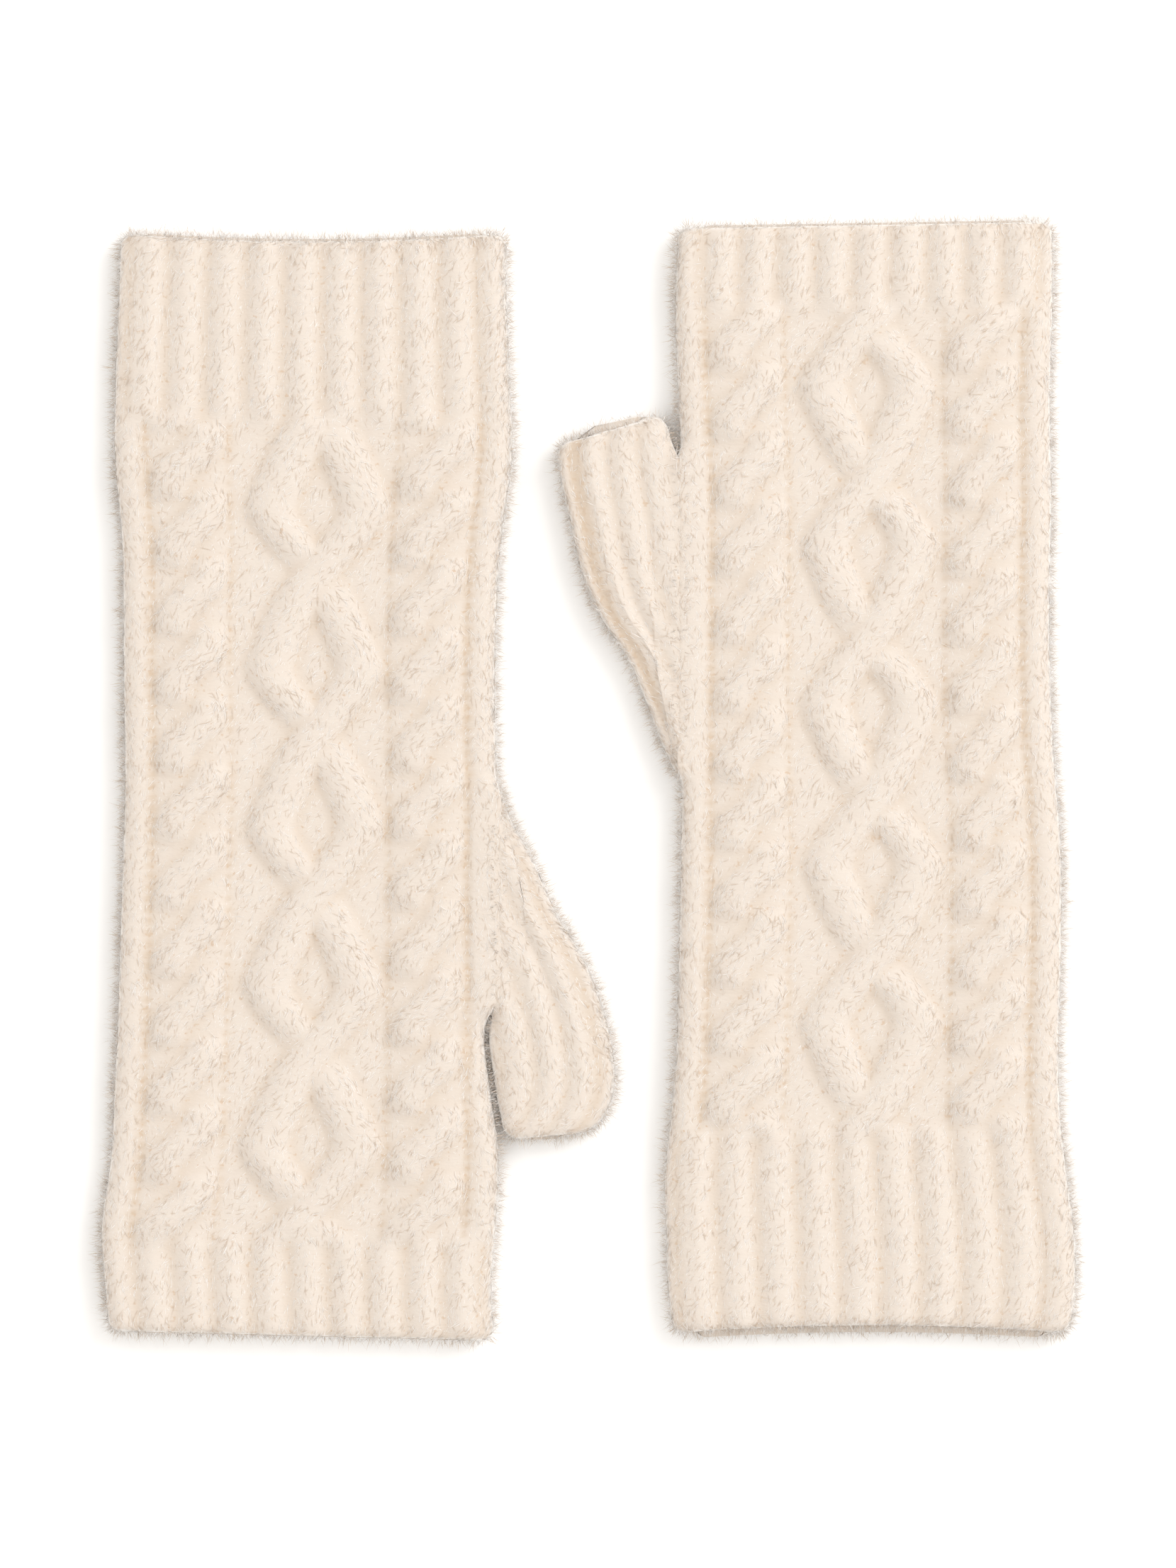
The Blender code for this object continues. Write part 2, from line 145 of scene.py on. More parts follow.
RIGHT = Warmer(
    name="right", seed=23,
    place=(68.25, -134.75), turn=0.0,
    length=270.9, finger_slope=0.8,
    arm_rib=45.0, finger_rib=254.5,
    lattice_start=55.5, lattice_centre=0.7, rope_start=60.1,
    arm_rib_groove=1.9, finger_rib_groove=-3.3, back_longer=1.8,
    crotch=212.0, thumb_end=221.0, thumb_tilt=-3.0, thumb_groove=1.0,
    edges=table(
        Edges,
        (0, -48.2, 50.6, 0), (10, -49.4, 52, 0), (22, -49.8, 51.9, 0),
        (38, -50.2, 50, 0), (50, -49, 48.5, 0), (65, -47.6, 47.9, 0),
        (91, -46.9, 48.5, 0), (117, -46.3, 48.5, 0), (147, -46, 46.4, 0),
        (178, -45.8, 45.7, 0), (205, -45.8, 46.2, 0), (230, -47, 45.8, 0),
        (250, -47.7, 46.4, 0), (271, -47, 46.4, 0),
    ),
    thumb=table(
        Thumb,
        (136, -47.4, 0), (145.2, -51.5, 0), (152.9, -54.4, 0), (166, -60.1, 0),
        (174.8, -65.9, 0), (187, -70.9, 0), (200, -73.8, 0), (208, -75.6, 0),
        (212, -76.1, 0.1), (217, -76.3, 1.6), (221, -75.2, 2.3),
    ),
)
WARMERS = (LEFT, RIGHT)


def linear(hex_colour):
    """An sRGB hex colour as linear red, green and blue."""
    parts = [int(hex_colour[k:k + 2], 16) / 255 for k in (1, 3, 5)]
    return tuple(p / 12.92 if p <= 0.04045 else ((p + 0.055) / 1.055) ** 2.4 for p in parts)


def length(name, description, millimetres):
    """A length that a user sets in the scene's unit; its default is given in millimetres."""
    return bpy.props.FloatProperty(name=name, description=description, default=millimetres * MM,
                                   min=0.0, subtype="DISTANCE", unit="LENGTH", precision=5)


def part_of_one(name, description, default):
    """A share from 0 to 1."""
    return bpy.props.FloatProperty(name=name, description=description, default=default,
                                   min=0.0, max=1.0, subtype="FACTOR")


def number(name, description, default):
    """A plain number, not below 0."""
    return bpy.props.FloatProperty(name=name, description=description, default=default, min=0.0)


def count(name, description, default):
    """A whole number from 1."""
    return bpy.props.IntProperty(name=name, description=description, default=default, min=1)


def degrees(name, description, default):
    """An angle whose default is given in degrees."""
    return bpy.props.FloatProperty(name=name, description=description, default=math.radians(default),
                                   subtype="ANGLE", unit="ROTATION")


def colour(name, description, hex_colour):
    """A colour whose default is given as sRGB hex."""
    return bpy.props.FloatVectorProperty(name=name, description=description, size=3, min=0.0, max=1.0,
                                         subtype="COLOR", default=linear(hex_colour))


class WarmerKnit(bpy.types.PropertyGroup):
    """Sizes of the knitted fabric."""
    middle: length("Middle", "Height of the plane between the two layers", 3.75)
    ground: length("Ground", "Height of the plain ground of the front layer", 6.7)
    inset: length("Inset", "How far the knitted edge lies inside the outline that the fuzz fills", 0.8)
    fold_radius: length("Fold radius", "How far in from a fold the cloth rounds over", 6.5)
    seam_radius: length("Seam radius", "How far in from the thumb's seam the cloth rounds over", 2.6)
    seam_overlap: length("Seam overlap", "How far hand and thumb run into each other at their seam", 0.35)
    seam_floor: part_of_one("Seam floor", "Share of the layer's height left in the thumb's seam", 0.9)
    mouth_radius: length("Mouth radius", "How far in from an opening the cloth rounds over", 3.0)
    mouth_gape: length("Mouth gape", "How far each layer stands off the middle at an opening", 0.5)
    mouth_floor: part_of_one("Mouth floor", "Share of the layer's height left at an opening's lip", 0.3)
    wall: length("Wall", "Thickness of the cloth at a fold", 2.8)
    wale: length("Wale", "Width of one column of stitches", 2.8)
    row: length("Row", "Height of one row of stitches", 2.75)
    plait_height: length("Plait height", "Height of the V stitches on cables and ribs", 0.02)
    purl_height: length("Purl height", "Height of the bumps of the purl ground", 0.02)
    felt_height: length("Felt height", "Height of the clumps of the felted face", 0.02)
    felt_fine: length("Fine clumps", "Size of the finest clumps of the felted face", 2.0)
    felt_coarse: length("Coarse clumps", "Size of the widest clumps of the felted face", 7.0)
    rib_pitch: length("Rib pitch", "From one rib to the next", 9.3)
    rib_height: length("Rib height", "Height of the ribs over the ground", 1.5)
    rib_fade: length("Rib fade", "Stretch over which ribs turn into cables", 8.0)
    cable_height: length("Cable height", "Height of the cables over the ground", 2.3)
    edge_height: length("Edge height", "Height of the plain strip beside each fold", 1.0)
    back_depth: length("Back relief", "Depth of the pattern on the flattened underside", 0.8)
    step_along: length("Step along", "Spacing of the points along the hand", 0.76)
    step_front: length("Step across the front", "Spacing of the points across the front", 0.76)
    step_back: length("Step across the back", "Spacing of the points across the back", 1.5)


class WarmerNap(bpy.types.PropertyGroup):
    """Counts and sizes of the brushed fibres of one warmer."""
    light_fibres: count("Light fibres", "Fibres of the lighter shade on one warmer", 49000)
    warm_fibres: count("Warm fibres", "Fibres of the warmer shade on one warmer", 33000)
    fibre_length: length("Length", "Usual length of a lying fibre", 2.1)
    fibre_width: length("Width", "Width of a lying fibre in its middle", 0.13)
    rise: degrees("Rise", "How steeply a lying fibre leaves the cloth", 1.2)
    spread: degrees("Spread", "How far fibres stray from the lie of the nap", 26.0)
    standing_length: length("Standing length", "Usual length of a fibre that stands at a fold", 1.3)
    standing_width: length("Standing width", "Width of a standing fibre", 0.1)
    halo: number("Halo", "How much denser the fibres are at the folds", 4.5)
    softness: part_of_one("Softness", "How closely a fibre is shaded like the cloth under it", 0.96)
    back_density: part_of_one("Back density", "Fibres on the underside for each on the front", 0.45)


class WarmerFinish(bpy.types.PropertyGroup):
    """Colours and finish of the wool."""
    cream: colour("Cream", "Usual colour of the brushed wool", "#DACEC3")
    milk: colour("Milk", "Lightest patches", "#DED5CB")
    # Painted shade: the colour laid in the creases and valleys
    crease: colour("Crease", "Deep in the creases, where the yarn shows", "#CCB9A4")
    fleck: colour("Fleck", "Small warm flecks of bare yarn", "#D0BBA7")
    # Painted highlight laid on the steep folds
    fold_highlight: colour("FoldHighlight", "Tips of the fibres brushed off the folds", "#F8F5F1")
    fibre_light: colour("Light fibre", "Lighter fibres", "#EAE5E0")
    fibre_warm: colour("Warm fibre", "Warmer fibres", "#D0BFAE")
    roughness: part_of_one("Roughness", "Roughness of brushed wool", 0.92)
    sheen: part_of_one("Sheen", "Weight of the sheen of fine fibre tips", 0.25)


class WarmerStage(bpy.types.PropertyGroup):
    """Camera, light and floor."""
    framed_height: length("Framed height", "Height of the floor that the picture takes in", 385.6)
    centre_along: bpy.props.FloatProperty(name="Centre", description="Where the camera looks, along Y",
                                          default=-0.84 * MM, subtype="DISTANCE", unit="LENGTH")
    focal_length: number("Focal length", "Long lens, in millimetres", 150.0)
    floor_colour: colour("Floor", "Pale matt board", "#FFFFFF")
    key_power: number("Key light", "Power of the soft light at the upper right, in watts", 66.0)
    sky: number("Surround", "Strength of the white surround", 1.065)
    sky_colour: colour("Surround colour", "Faintly warm white walls", "#FFFCF8")


def plain(group):
    """The values of a property group by name, with its lengths in millimetres."""
    values = {}
    for prop in group.bl_rna.properties:
        if prop.identifier in ("rna_type", "name"):
            continue
        value = getattr(group, prop.identifier)
        values[prop.identifier] = value / MM if getattr(prop, "unit", "") == "LENGTH" else value
    return SimpleNamespace(**values)


def curve(columns, name, along):
    """Smooth line through a table's column: cubics whose slope at a row is the mean of its neighbours'."""
    place = np.array(columns.along)
    value = np.array(getattr(columns, name))
    slope = np.gradient(value, place)
    along = np.clip(along, place[0], place[-1])
    row = np.clip(np.searchsorted(place, along, side="right") - 1, 0, len(place) - 2)
    step = place[row + 1] - place[row]
    part = (along - place[row]) / step
    start = (1 + 2 * part) * (1 - part) ** 2 * value[row] + part * (1 - part) ** 2 * step * slope[row]
    end = part ** 2 * (3 - 2 * part) * value[row + 1] - part ** 2 * (1 - part) * step * slope[row + 1]
    return start + end


def ease(value, start, end):
    """Soft step from 0 at start to 1 at end: 3 p^2 - 2 p^3 of the part p between them."""
    part = np.clip((value - start) / (end - start), 0, 1)
    return part * part * (3 - 2 * part)


def rounded(distance, radius):
    """Height of a rounded border, distance in from it: (1 - (1 - distance / radius)^n)^(1 / n)."""
    short = np.clip(1 - distance / radius, 0, 1)
    return (1 - short ** ROUND_POWER) ** (1 / ROUND_POWER)


def border(distance, radius, floor):
    """Share of a layer's height at a border that is rounded, but no lower than a floor."""
    return floor + (1 - floor) * rounded(distance, radius)


def round_spacing(steps):
    """Shares of a border's width that are evenly spaced round its curve, from 0 to 1."""
    return 1 - np.cos(np.linspace(0, math.pi / 2, steps)) ** (2 / ROUND_POWER)


def corner(distance):
    """How far a side is drawn in near an end: a quarter circle of 3 mm."""
    radius = 3.0
    short = np.clip(1 - distance / radius, 0, 1)
    return radius * (1 - np.sqrt(1 - short ** 2))


def dome(offset, half_width):
    """Soft cross-section of a strand: (1 - (offset / half width)^2)^0.7, and 0 beside it."""
    return np.clip(1 - (offset / half_width) ** 2, 0, 1) ** 0.7


def ribs(distance, groove, knit):
    """Raised ribs with a groove at every pitch: height (1/2 - 1/2 cos(2 pi distance / pitch))^0.7."""
    wave = 0.5 - 0.5 * np.cos(2 * math.pi * (distance - groove) / knit.rib_pitch)
    return knit.rib_height * wave ** 0.7


def plaits(offset, along, knit):
    """Columns of V stitches: a ripple along each column that comes later towards the column's sides."""
    wale = offset / knit.wale
    side = 2 * np.abs(wale - np.round(wale))
    ripple = 0.5 + 0.5 * np.cos(2 * math.pi * (along / knit.row - 0.45 * side))
    return knit.plait_height * (ripple * np.sin(math.pi * np.clip(side, 0, 1)) - 0.5)


def purls(across, along, knit):
    """Rows of purl bumps: a ripple along the knitting, bent up and down once in each column."""
    bend = np.cos(2 * math.pi * across / knit.wale)
    ripple = 0.5 + 0.5 * np.cos(2 * math.pi * (along / knit.row + 0.13 * bend))
    return knit.purl_height * (ripple * (0.7 + 0.3 * bend) - 0.5)


class Relief:
    """Height over the ground, line of the fibres, stitches and lines of painted shade, built up strand by
    strand.
    """

    def __init__(self, across, along, knit):
        self.height = np.zeros_like(across)
        self.stitch = purls(across, along, knit)
        self.lie_across = np.ones_like(across)
        self.lie_along = np.zeros_like(across)
        self.shade_and_flecks = np.zeros_like(across)

    def lay(self, height, stitch, slope):
        """Puts a strand over what is there where it is higher; slope is its run across for each along."""
        higher = ease(height - self.height, -0.1, 0.4)
        self.height = np.maximum(self.height, height)
        self.stitch = self.stitch + higher * (stitch - self.stitch)
        size = np.sqrt(1 + slope ** 2)
        self.lie_across = self.lie_across + higher * (slope / size - self.lie_across)
        self.lie_along = self.lie_along + higher * (1 / size - self.lie_along)


def lay_lattice(relief, across, along, start, knit):
    """Two strands zigzag and cross every 39 mm; the one that leans right passes over the other.
    Centre line: 11 mm times an arcsine of a sine, which is a zigzag with rounded turns. Its phase runs
    ahead by the square of a cosine, so that the strands cross 3.6 mm nearer to the arm than midway."""
    pitch, sway, half, lean, point, early = 39.0, 11.0, 5.4, 0.87, 0.96, 3.6
    dip, dip_reach = 1.5, 4.0
    even = math.pi * (along - start) / pitch
    phase = even + math.pi * early / pitch * np.cos(even) ** 2
    zigzag = np.arcsin(point * np.sin(phase)) / math.asin(point)
    run = point * np.cos(phase) / np.sqrt(1 - (point * np.sin(phase)) ** 2) / math.asin(point)
    for side in (1, -1):
        centre = side * sway * zigzag
        under = ease(-side * np.cos(phase), -0.2, 0.2) * np.exp(-(centre / dip_reach) ** 2)
        offset = (across - centre) * lean
        height = (knit.cable_height - dip * under) * dome(offset, half)
        slope = side * sway * run * math.pi / pitch
        relief.lay(height, plaits(offset, along, knit), slope)


def lay_rope(relief, across, along, start, knit):
    """Two strands twist round each other every 33.5 mm; the one that leans right is always on top.
    Centre line: 4.5 mm times a sine whose phase runs ahead by a sine, so that a strand passes over more
    quickly than it comes back. It sinks to a sixth of its height as it dives, which leaves one
    slanting lobe for each crossing. Both strands lie on a pad as wide as the rope."""
    pitch, sway, half, quick = 16.75, 4.5, 5.0, 0.15
    pad_half, pad_height = 9.6, 1.0
    mean_rise, swing, lowest = 0.2, 0.6, 0.17
    phase = math.pi * (along - start) / pitch
    relief.lay(pad_height * dome(across, pad_half), plaits(across, along, knit), 0.0 * across)
    for side in (1, -1):
        over = side * np.cos(phase)
        twist = phase + quick * side * np.sin(phase)
        slope = side * sway * math.pi / pitch * np.cos(twist) * (1 + quick * over)
        offset = (across - side * sway * np.sin(twist)) / np.sqrt(1 + slope ** 2)
        shown = lowest + (1 - lowest) * ease(over, -0.65, 0.35)
        height = (knit.cable_height + mean_rise + swing * over) * shown * dome(offset, half)
        relief.lay(height, plaits(offset, along, knit), slope)


def hand_relief(warmer, across, along, knit):
    """Relief of the ribs and cables at places of the pattern. A line of painted shade, in a dash for each
    row, lies where a rope meets the ground and where the plain strip beside a fold begins."""
    rope_centre, rope_border, strip_border, rib_lie = 29.5, 19.9, 39.5, 0.35
    relief = Relief(across, along, knit)
    lay_lattice(relief, across - warmer.lattice_centre, along, warmer.lattice_start, knit)
    for side in (1, -1):
        lay_rope(relief, across - side * rope_centre, along, warmer.rope_start, knit)
    off = np.abs(across)
    strip = knit.edge_height * ease(off, strip_border + 0.4, strip_border + 1.8)
    relief.lay(strip, plaits(across, along, knit), 0.0 * across)
    leave_arm = ease(along, warmer.arm_rib, warmer.arm_rib + knit.rib_fade)
    reach_finger = ease(along, warmer.finger_rib - knit.rib_fade, warmer.finger_rib)
    cabled = leave_arm - reach_finger
    arm = ribs(across, warmer.arm_rib_groove, knit)
    finger = ribs(across, warmer.finger_rib_groove, knit)
    relief.height = (1 - leave_arm) * arm + cabled * relief.height + reach_finger * finger
    groove = np.where(leave_arm < 0.5, warmer.arm_rib_groove, warmer.finger_rib_groove)
    ribbed = plaits(across - groove - knit.rib_pitch / 2 - knit.wale / 2, along, knit)
    relief.stitch = cabled * relief.stitch + (1 - cabled) * ribbed
    relief.lie_across = cabled * relief.lie_across + (1 - cabled) * rib_lie
    relief.lie_along = cabled * relief.lie_along + (1 - cabled)
    dashes = 0.45 + 0.4 * np.cos(2 * math.pi * along / knit.row)
    strip_line = np.exp(-((off - strip_border) / 0.9) ** 2)
    rope_line = np.exp(-((off - rope_border) / 0.8) ** 2)
    # Painted shade: dashed darker lines at the foot of each rope and beside each fold's strip
    relief.shade_and_flecks = cabled * dashes * (strip_line + 0.7 * rope_line)
    return relief


def thumb_relief(warmer, across, along, right, knit):
    """Relief of the thumb's ribs, which follow its outer fold and lie closer towards its base. The groove
    beside that fold is the deepest. Near the seam the ribs level out into the strip of the hand."""
    pitch, groove_half, level_reach = 7.9, 1.9, 4.0
    groove = 4.6 * knit.rib_pitch / pitch
    outer = curve(warmer.thumb, "outer", along)
    spread = 0.7 + 0.3 * ease(along, warmer.thumb.along[0], warmer.crotch)
    distance = (across - outer) / spread * knit.rib_pitch / pitch
    relief = Relief(across, along, knit)
    first = warmer.thumb_groove * np.exp(-((distance - groove) / groove_half) ** 2)
    first = first * ease(outer, -50.0, -58.0)
    level = joined_to_thumb(warmer, along) * (1 - ease(right - across, 0.0, level_reach))
    relief.height = 0.8 * ribs(distance, groove, knit) - 0.7 * first
    relief.height += level * (knit.edge_height - relief.height)
    # Painted shade along the deepest groove, beside the outer fold
    relief.shade_and_flecks = 0.85 * first * (1 - level)
    relief.stitch = plaits(distance, along, knit)
    slope = np.gradient(outer, axis=0) / np.gradient(along, axis=0)
    size = np.sqrt(1 + slope ** 2)
    relief.lie_across = slope / size
    relief.lie_along = 1 / size
    return relief


def hand_sides(warmer, along, inset):
    """The hand's two borders, inset, with its corners rounded at both ends."""
    trim = corner(along) + corner(warmer.length - along) + inset
    left = curve(warmer.edges, "thumb_side", along) + curve(warmer.edges, "drawn_in", along) + trim
    right = curve(warmer.edges, "far_side", along) - trim
    return left, right


def pattern_across(warmer, across, along):
    """Place in the stitch pattern, which is stretched between the two folds."""
    left = curve(warmer.edges, "thumb_side", along)
    right = curve(warmer.edges, "far_side", along)
    return PATTERN_HALF * (2 * (across - left) / (right - left) - 1)


def joined_to_thumb(warmer, along):
    """1 where the hand's thumb side is joined to the thumb and 0 where it is a fold."""
    base = warmer.thumb.along[0]
    return ease(along, base - 3.0, base + 3.0) * (1 - ease(along, warmer.crotch, warmer.crotch + 6.0))


def joined_border(distance, joined, knit):
    """Where hand and thumb meet: share of the layer's height at a distance in from the seam, and how much
    painted shade darkens the seam's crease."""
    radius = knit.fold_radius + joined * (knit.seam_radius - knit.fold_radius)
    # Painted shade in the seam's crease, fading over 2.2 mm
    seam = 0.15 * joined * (1 - ease(distance, 0.3, 2.2))
    return border(distance, radius, knit.seam_floor * joined), seam


def longer_back(warmer, layer, across, left, right):
    """How much longer the back layer is: nothing at its two borders, and all of it from 6 mm in."""
    return warmer.back_longer * layer * ease(np.minimum(across - left, right - across), 0, 6)


def near(distance, reach):
    """1 at an opening, falling to 0 as (1 - distance / reach)^2."""
    return np.clip(1 - distance / reach, 0, 1) ** 2


def mouth_line(warmer, part, along, longer):
    """How far the points near an opening move so that its line dips and slopes as the knitting does."""
    start, dip, finger_share = -0.8, 2.0, 0.4
    arm = start + dip * (1 - part ** 2) - longer
    finger = warmer.finger_slope * part + longer * finger_share
    return arm * near(along, MOUTH_REACH) + finger * near(warmer.length - along, MOUTH_REACH)


def round_columns(knit, width, radius):
    """Columns once round a flat tube: a place across for each, and 0 on the front or 1 on the back.
    Places run from 0 to 1 over the left border's curve, to 2 over the flat middle, and to 3."""
    def half(step, curve_points):
        curved = round_spacing(curve_points)
        middle = 1 + np.linspace(0, 1, max(3, round((width - 2 * radius) / step)))
        return np.concatenate([curved, middle[1:], 3 - curved[::-1][1:]])

    front = half(knit.step_front, FRONT_CURVE)
    back = half(knit.step_back, BACK_CURVE)[::-1][1:-1]
    layer = np.concatenate([np.full(len(front), FRONT), np.full(len(back), BACK)])
    return np.concatenate([front, back]), layer


def spread_places(places, left, right, radius):
    """Distance across for each column's place, between borders that move from row to row."""
    radius = np.minimum(radius, (right - left) / 2)
    near_left = left + radius * places
    flat = left + radius + (right - left - 2 * radius) * (places - 1)
    near_right = right - radius * (3 - places)
    return np.where(places < 1, near_left, np.where(places > 2, near_right, flat))


def end_rows(start, end, knit, open_start):
    """Rows along a tube: even ones, and closer ones round each open end. The far end is always open."""
    last = round_spacing(MOUTH_CURVE) * knit.mouth_radius
    first = last if open_start else np.array([0.0])
    middle = np.linspace(start + first[-1], end - last[-1], round((end - start) / knit.step_along))
    return np.concatenate([start + first[:-1], middle, end - last[::-1][1:]])


def soften(values, times):
    """Mean with the neighbours on the grid, done several times; the columns go round."""
    for _ in range(times):
        values = (np.roll(values, 1, 1) + 2 * values + np.roll(values, -1, 1)) / 4
        padded = np.concatenate([values[:1], values, values[-1:]])
        values = (padded[:-2] + 2 * values + padded[2:]) / 4
    return values


def felted(points, knit, seed, waves=40):
    """Clumps of a felted face: plane waves of random direction, length and start, added up."""
    rng = np.random.default_rng(seed)
    direction = rng.normal(size=(waves, 3))
    direction /= np.linalg.norm(direction, axis=1)[:, None]
    size = knit.felt_fine * (knit.felt_coarse / knit.felt_fine) ** rng.random(waves)
    start = rng.random(waves) * 2 * math.pi
    total = np.zeros(points.shape[:-1])
    for k in range(waves):
        total += np.sin(2 * math.pi * (points @ direction[k]) / size[k] + start[k])
    return total * math.sqrt(2 / waves)


def unit(vectors):
    """Vectors of length 1."""
    return vectors / np.maximum(np.linalg.norm(vectors, axis=-1), 1e-9)[..., None]


def in_the_pair(warmer, points):
    """Points of a warmer's own frame, turned and moved to its place in the pair."""
    turn = math.radians(warmer.turn)
    x = warmer.place[0] + math.cos(turn) * points[..., 0] - math.sin(turn) * points[..., 1]
    y = warmer.place[1] + math.sin(turn) * points[..., 0] + math.cos(turn) * points[..., 1]
    return np.stack([x, y, points[..., 2]], -1)


class Tube(NamedTuple):
    """A knitted tube by row and column: its outer points with what varies over them, its inner points,
    the layer of each outer point, and its share of the layer's height."""
    outer: np.ndarray
    normal: np.ndarray
    lie: np.ndarray
    crease: np.ndarray
    inner: np.ndarray
    layer: np.ndarray
    share: np.ndarray


def carve(warmer, knit, across, along, share, layer, relief, seam, part_seed):
    """Outer points of a tube and their normals. Brushing has rounded the relief, so it is softened first.
    Front height: middle + (ground - middle + relief) share. Back height: middle - (middle - lift) share,
    with lift = back relief (1 - relief / highest). Felt then moves each point along its normal. Crease is
    painted shade: it is darker in wide valleys, at the foot of each cable, and along the painted shade
    lines of the relief and the seam."""
    stitch_on_back, wide, valley_depth, narrow, foot_depth, shown = 0.4, 16, 0.8, 3, 0.3, 0.4
    relief.height = soften(relief.height, 2)
    front = knit.middle + (knit.ground - knit.middle + relief.height + relief.stitch) * share
    highest = knit.cable_height + 1.0
    lift = knit.back_depth * (1 - np.clip(relief.height, 0, highest) / highest)
    back = knit.middle - (knit.middle - lift - stitch_on_back * relief.stitch) * share
    points = in_the_pair(warmer, np.stack([across, along, np.where(layer == BACK, back, front)], -1))
    round_way = np.roll(points, -1, 1) - np.roll(points, 1, 1)
    long_way = np.gradient(points, axis=0)
    normal = unit(np.cross(round_way, long_way))
    felt = felted(points, knit, warmer.seed + part_seed)
    points = points + normal * (knit.felt_height * felt)[..., None]
    points[..., 2] = np.maximum(points[..., 2], 0.0)
    way = np.where(layer == BACK, -1.0, 1.0)
    lie = unit(unit(round_way) * (way * relief.lie_across)[..., None]
               + unit(long_way) * relief.lie_along[..., None])
    # Painted shade: the crease colour grows in wide valleys and at the foot of each cable
    valley = np.clip((soften(relief.height, wide) - relief.height) / valley_depth, 0, 1)
    foot = np.clip((soften(relief.height, narrow) - relief.height) / foot_depth, 0, 1)
    crease = np.clip(shown * valley + shown * foot + relief.shade_and_flecks + seam, 0, 1)
    return points, normal, lie, crease


def hand_tube(warmer, knit):
    """The hand: a flat tube between its two folds, open at the arm and the fingers."""
    places, layer = round_columns(knit, 2 * PATTERN_HALF, knit.fold_radius)
    rows = end_rows(0.0, warmer.length, knit, True)
    along, layer = rows[:, None] + 0 * places, layer + 0 * rows[:, None]
    left, right = hand_sides(warmer, along, knit.inset)
    joined = joined_to_thumb(warmer, along)
    left = left - joined * (knit.inset + knit.seam_overlap)
    across = spread_places(places, left, right, knit.fold_radius)
    joined_side, seam = joined_border(across - left, joined, knit)
    mouth = border(np.minimum(along, warmer.length - along), knit.mouth_radius, knit.mouth_floor)
    share = joined_side * rounded(right - across, knit.fold_radius) * mouth
    in_pattern = pattern_across(warmer, across, along)
    relief = hand_relief(warmer, in_pattern, along, knit)
    longer = longer_back(warmer, layer, across, left, right)
    shown_along = along + mouth_line(warmer, in_pattern / PATTERN_HALF, along, longer)
    outside = carve(warmer, knit, across, shown_along, share, layer, relief, seam, 1)
    inside = lining(warmer, knit, rows, places, layer, left, right, shown_along, True)
    return Tube(*outside, inside, layer, share)


def thumb_tube(warmer, knit):
    """The thumb: a flat tube between its outer fold and the hand, closed at its base and open at its end.
    Its first row lies just after the base, where it is only 0.8 mm wide."""
    usual_width, narrowest, first_row = 24.0, 0.8, warmer.thumb.along[0] + 0.6
    places, layer = round_columns(knit, usual_width, knit.seam_radius)
    rows = end_rows(first_row, warmer.thumb_end, knit, False)
    along, layer = rows[:, None] + 0 * places, layer + 0 * rows[:, None]
    joined = joined_to_thumb(warmer, along)
    hand_left = hand_sides(warmer, along, 0.0)[0]
    to_end = warmer.thumb_end - along
    trim = corner(to_end)
    opened = trim - joined * knit.seam_overlap
    right = hand_left - curve(warmer.thumb, "slit", along) - opened
    left = np.minimum(curve(warmer.thumb, "outer", along) + knit.inset + trim, right - narrowest)
    across = spread_places(places, left, right, knit.fold_radius)
    joined_side, seam = joined_border(right - across, joined, knit)
    mouth = border(to_end, knit.mouth_radius, knit.mouth_floor)
    share = rounded(across - left, knit.fold_radius) * joined_side * mouth
    relief = thumb_relief(warmer, across, along, right, knit)
    part = (across - left) / (right - left)
    longer = longer_back(warmer, layer, across, left, right)
    shown_along = along + (warmer.thumb_tilt * (1 - 2 * part) + longer) * near(to_end, MOUTH_REACH)
    outside = carve(warmer, knit, across, shown_along, share, layer, relief, seam, 2)
    inside = lining(warmer, knit, rows, places, layer, left, right, shown_along, False)
    return Tube(*outside, inside, layer, share)


def lining(warmer, knit, rows, places, layer, left, right, shown_along, open_start):
    """Inner points of a tube at about every twentieth row: both layers a hair off the middle plane,
    standing off more at an opening, between sides that lie a wall's thickness inside the borders."""
    every, wall_share, side_radius, hair, gape_reach, gape_radius = 20, 0.3, 2.0, 0.15, 12.0, 3.0
    last = len(rows) - 1
    kept = np.unique(np.concatenate([[0, 4], np.arange(8, last - 7, every), [last - 4, last]]))
    along = rows[kept][:, None] + 0 * places
    wall = np.minimum(knit.wall, wall_share * (right - left))[kept]
    start, end = left[kept] + wall, right[kept] - wall
    across = spread_places(places, start, end, side_radius)
    side = np.minimum(across - left[kept] - wall, end - across)
    at_start = near(along - rows[0], gape_reach) if open_start else 0.0
    gape = hair + knit.mouth_gape * (at_start + near(rows[-1] - along, gape_reach))
    off = gape * rounded(side, gape_radius)
    up = knit.middle + np.where(layer[kept] == BACK, -off, off)
    return in_the_pair(warmer, np.stack([across, shown_along[kept], up], -1))


def grid_faces(rows, columns, first, outwards):
    """Quads of a grid whose columns go round, with the first point's number."""
    row, column = np.meshgrid(np.arange(rows - 1), np.arange(columns), indexing="ij")
    after = (column + 1) % columns
    corners = [row * columns + column, row * columns + after,
               (row + 1) * columns + after, (row + 1) * columns + column]
    faces = np.stack(corners, -1).reshape(-1, 4) + first
    return faces if outwards else faces[:, ::-1]


def ring_faces(outer_first, inner_first, columns, outwards):
    """Quads of the rim between a ring of outer points and a ring of inner ones."""
    column = np.arange(columns)
    after = (column + 1) % columns
    faces = np.stack([outer_first + after, outer_first + column, inner_first + column,
                      inner_first + after], -1)
    return faces if outwards else faces[:, ::-1]


